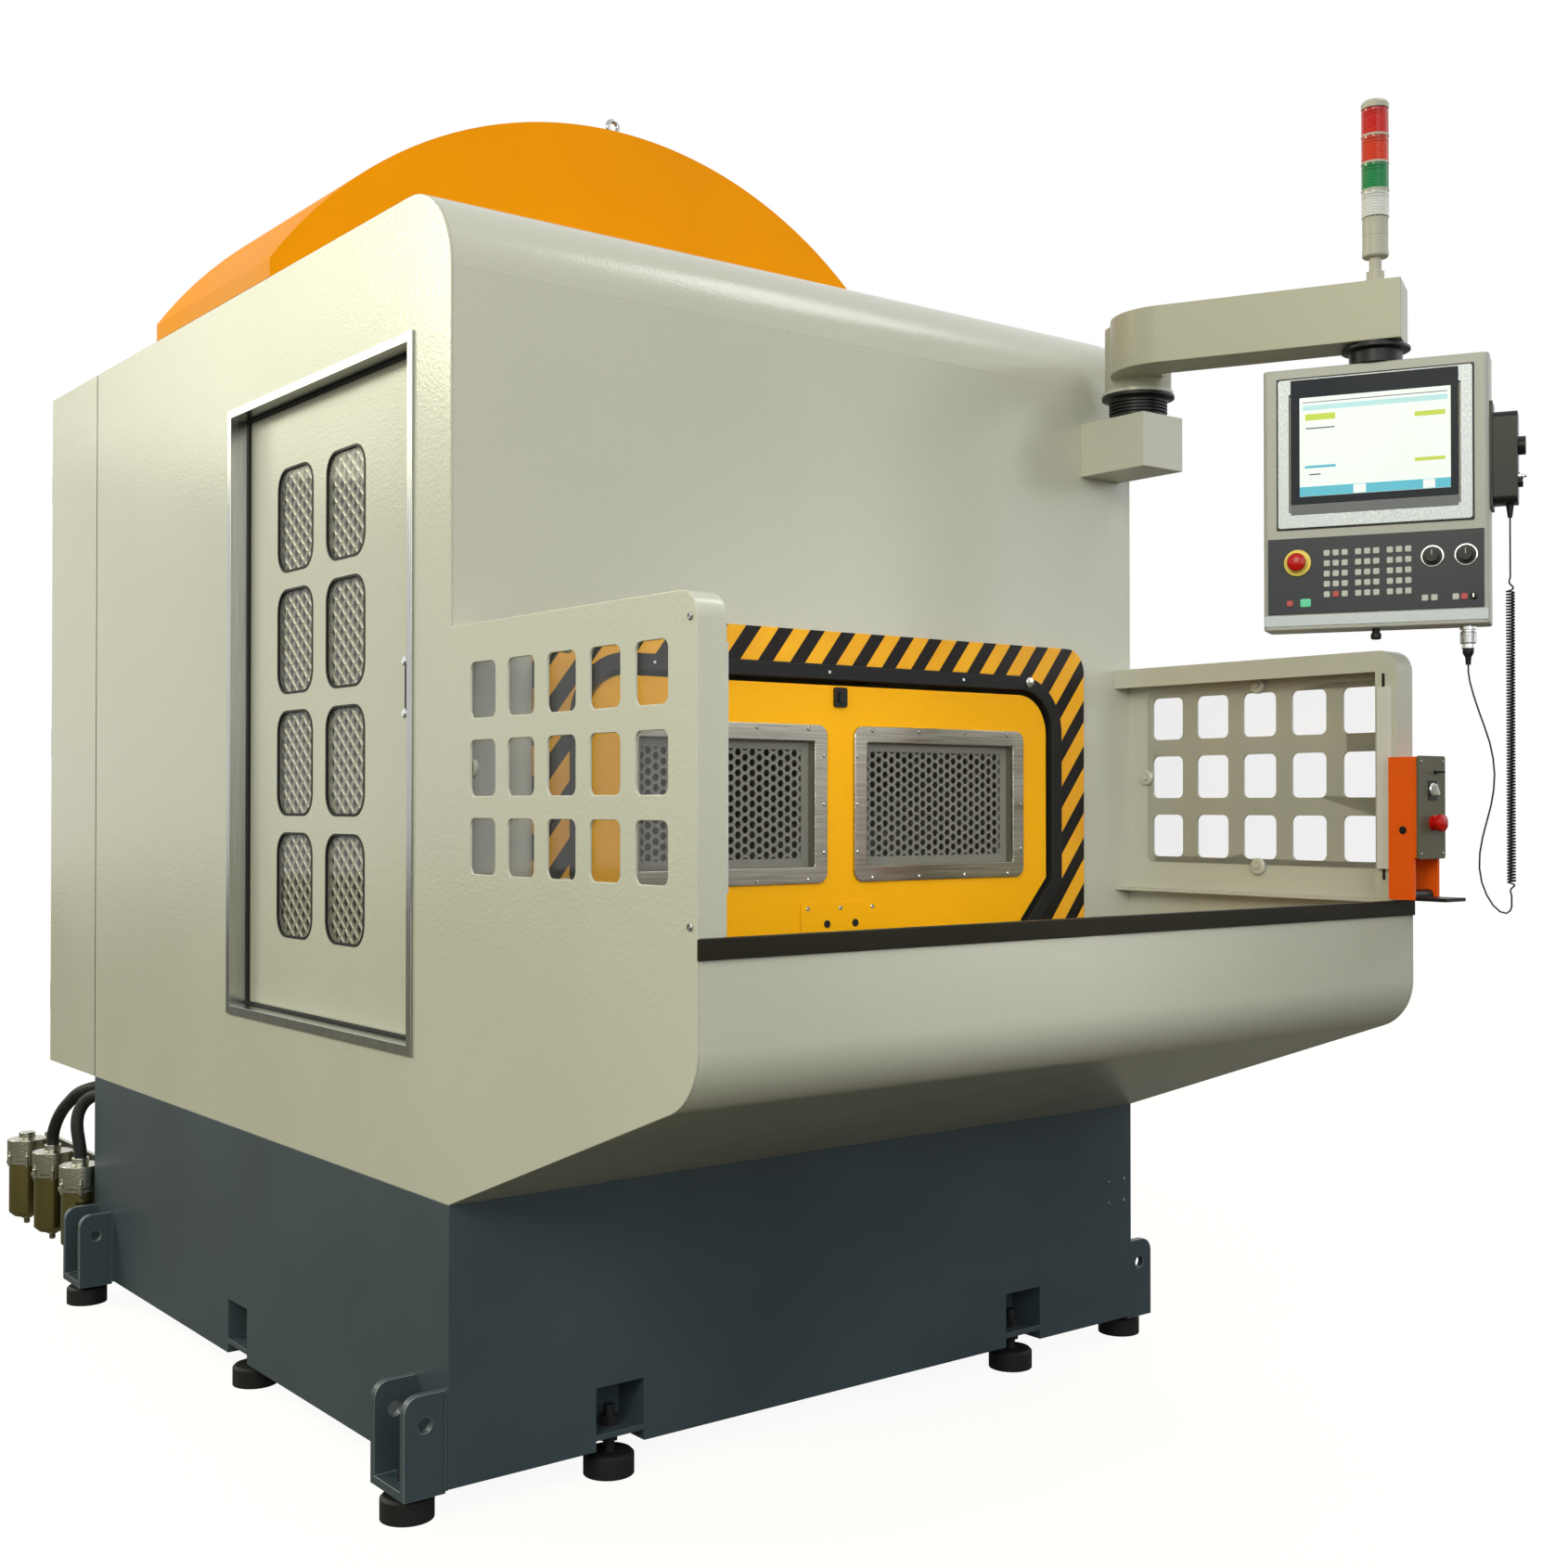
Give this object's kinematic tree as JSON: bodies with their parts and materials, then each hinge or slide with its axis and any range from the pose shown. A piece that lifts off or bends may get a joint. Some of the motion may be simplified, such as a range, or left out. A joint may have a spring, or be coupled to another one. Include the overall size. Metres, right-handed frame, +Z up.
{
  "type": "robotic deburring machine",
  "caption": "Closed robot cell on a welded base with a front loading bay, turning yellow partition, sliding side door, arched roof hood and an operator panel on a swing arm.",
  "frame": {"origin": "middle of the machine's floor box, on the floor", "axes": "+X to the operator's right, +Y from the loading bay to the rear cabinet, +Z up"},
  "size_m": [2.286, 3.8525, 3.275],
  "materials": {
    "base_paint": "textured dark slate powder coat",
    "foot_rubber": "black moulded rubber and oxide-black studs",
    "cabin_paint": "textured warm light grey powder coat",
    "hood_paint": "smooth orange-yellow paint",
    "eyebolt_steel": "zinc plated forged eye bolt",
    "frame_aluminium": "satin trim",
    "rail_steel": "plain steel runner",
    "stripe_yellow": "yellow and black hazard stripes",
    "stripe_black": "black stripe of the hazard frame",
    "seal_rubber": "black rubber profile",
    "rim_trim": "dark brown-black edge trim",
    "clear_sheet": "clear polycarbonate sheet",
    "sensor_white": "light grey sensor housing",
    "start_orange": "orange paint",
    "cover_grey": "olive grey paint",
    "joint_black": "black cast joint",
    "filter_cast": "cast aluminium",
    "filter_bowl": "cast aluminium bowl",
    "hose_rubber": "black rubber hose",
    "drive_iron": "grey painted cast iron",
    "table_steel": "ground steel plate",
    "partition_paint": "yellow paint",
    "bezel_metal": "dark grey metallic paint",
    "guard_metal": "perforated steel plate",
    "handle_black": "black bar handle",
    "stack_plastic": "off-white plastic",
    "lens_red": "translucent red lens",
    "lens_amber": "translucent amber-red lens",
    "lens_green": "translucent green lens",
    "lens_clear": "translucent white lens",
    "panel_paint": "warm grey textured paint",
    "bezel_aluminium": "anodised aluminium",
    "display": "lit display under a clear cover",
    "key_field": "dark slate foil",
    "key_caps": "pale key caps",
    "stop_yellow": "yellow collar",
    "pendant_plastic": "black plastic",
    "plug_chrome": "nickel plated plug",
    "cord_rubber": "black cord",
    "stop_red": "red mushroom head",
    "robot_paint": "orange painted casting",
    "spindle_steel": "ground steel",
    "screw_steel": "plated screws"
  },
  "bodies": {
    "frame": {"base_frame": "base_paint", "lifting_brackets": "base_paint", "levelling_feet": "foot_rubber", "left_side_panel": "cabin_paint", "right_side_panel": "cabin_paint", "front_panel": "cabin_paint", "roof_panel": "cabin_paint", "rear_cabinet": "cabin_paint", "roof_hood": "hood_paint", "hood_eyebolts": "eyebolt_steel", "door_frame": "frame_aluminium", "door_rails": "rail_steel", "opening_frame": "stripe_yellow", "opening_seal": "seal_rubber", "basin_shell": "cabin_paint", "basin_trim": "rim_trim", "wing_windows": "clear_sheet", "light_curtains": "sensor_white", "start_box": "start_orange", "start_box_cover": "cover_grey", "arm_bracket": "cabin_paint", "arm_pivot": "joint_black", "filter_heads": "filter_cast", "filter_bowls": "filter_bowl", "filter_hoses": "hose_rubber", "table_drive": "drive_iron", "robot_pedestal": "drive_iron"},
    "table": {"table_disc": "table_steel", "partition_panel": "partition_paint", "window_bezels": "bezel_metal", "window_guards": "guard_metal", "access_plate": "partition_paint"},
    "side_door": {"door_panel": "cabin_paint", "door_guards": "guard_metal", "door_glass": "clear_sheet", "door_handle": "handle_black"},
    "arm": {"swing_arm": "cabin_paint", "stack_body": "stack_plastic", "stack_lenses": "lens_red"},
    "operator_panel": {"panel_hub": "joint_black", "panel_housing": "panel_paint", "screen_bezel": "bezel_aluminium", "display_glass": "display", "key_panel": "key_field", "panel_keys": "key_caps", "pendant": "pendant_plastic", "pendant_plug": "plug_chrome", "cord_lead": "cord_rubber", "cord_coil": "cord_rubber"},
    "panel_stop": {"panel_estop": "stop_red"},
    "left_knob": {"override_knob_left": "pendant_plastic"},
    "right_knob": {"override_knob_right": "pendant_plastic"},
    "start_stop": {"start_estop": "stop_red"},
    "selector": {"start_selector": "pendant_plastic"},
    "paddle": {"start_paddle": "pendant_plastic"},
    "turret": {"robot_turret": "robot_paint"},
    "lower_arm": {"robot_lower_arm": "robot_paint"},
    "forearm": {"robot_forearm": "robot_paint"},
    "wrist": {"robot_wrist": "robot_paint"},
    "tool": {"spindle": "spindle_steel"}
  },
  "joints": [
    {"name": "door_slide", "type": "slide", "parent": "frame", "child": "side_door", "axis": [0, 1, 0], "range_m": [0, 0.9]},
    {"name": "table_turn", "type": "hinge", "parent": "frame", "child": "table", "pos_m": [-0.048, -0.877, 1.03], "axis": [0, 0, 1], "range_deg": [0, 180]},
    {"name": "arm_swing", "type": "hinge", "parent": "frame", "child": "arm", "pos_m": [0.832, -1.027, 2.455], "axis": [0, 0, 1], "range_deg": [0, 75]},
    {"name": "panel_turn", "type": "hinge", "parent": "arm", "child": "operator_panel", "pos_m": [0.968, -1.63, 2.478], "axis": [0, 0, 1], "range_deg": [-20, 60]},
    {"name": "panel_stop_press", "type": "slide", "parent": "operator_panel", "child": "panel_stop", "axis": [0.8854, 0.4648, 0], "range_m": [0, 0.004]},
    {"name": "left_knob_turn", "type": "hinge", "parent": "operator_panel", "child": "left_knob", "pos_m": [0.97792, -1.76936, 1.973], "axis": [-0.8854, -0.4648, 0], "range_deg": [-150, 150]},
    {"name": "right_knob_turn", "type": "hinge", "parent": "operator_panel", "child": "right_knob", "pos_m": [1.01139, -1.83311, 1.973], "axis": [-0.8854, -0.4648, 0], "range_deg": [-150, 150]},
    {"name": "start_stop_press", "type": "slide", "parent": "frame", "child": "start_stop", "axis": [0, 1, 0], "range_m": [0, 0.004]},
    {"name": "selector_turn", "type": "hinge", "parent": "frame", "child": "selector", "pos_m": [0.902, -1.815, 1.442], "axis": [0, -1, 0], "range_deg": [-45, 45]},
    {"name": "paddle_press", "type": "hinge", "parent": "frame", "child": "paddle", "pos_m": [0.902, -1.781, 1.207], "axis": [1, 0, 0], "range_deg": [0, 15], "stiffness_Nm_per_rad": 2, "springref_deg": -3.44},
    {"name": "robot_base_turn", "type": "hinge", "parent": "frame", "child": "turret", "pos_m": [-0.048, 0.608, 0.923], "axis": [0, 0, 1], "range_deg": [-35, 35]},
    {"name": "robot_shoulder", "type": "hinge", "parent": "turret", "child": "lower_arm", "pos_m": [-0.048, 0.488, 1.3], "axis": [1, 0, 0], "range_deg": [-15, 15]},
    {"name": "robot_elbow", "type": "hinge", "parent": "lower_arm", "child": "forearm", "pos_m": [-0.048, 0.488, 2.05], "axis": [1, 0, 0], "range_deg": [-20, 15]},
    {"name": "robot_wrist_bend", "type": "hinge", "parent": "forearm", "child": "wrist", "pos_m": [-0.048, -0.072, 2.11], "axis": [1, 0, 0], "range_deg": [-45, 45]},
    {"name": "spindle_spin", "type": "hinge", "parent": "wrist", "child": "tool", "pos_m": [-0.048, -0.072, 1.81], "axis": [0, 0, 1], "continuous": true}
  ]
}
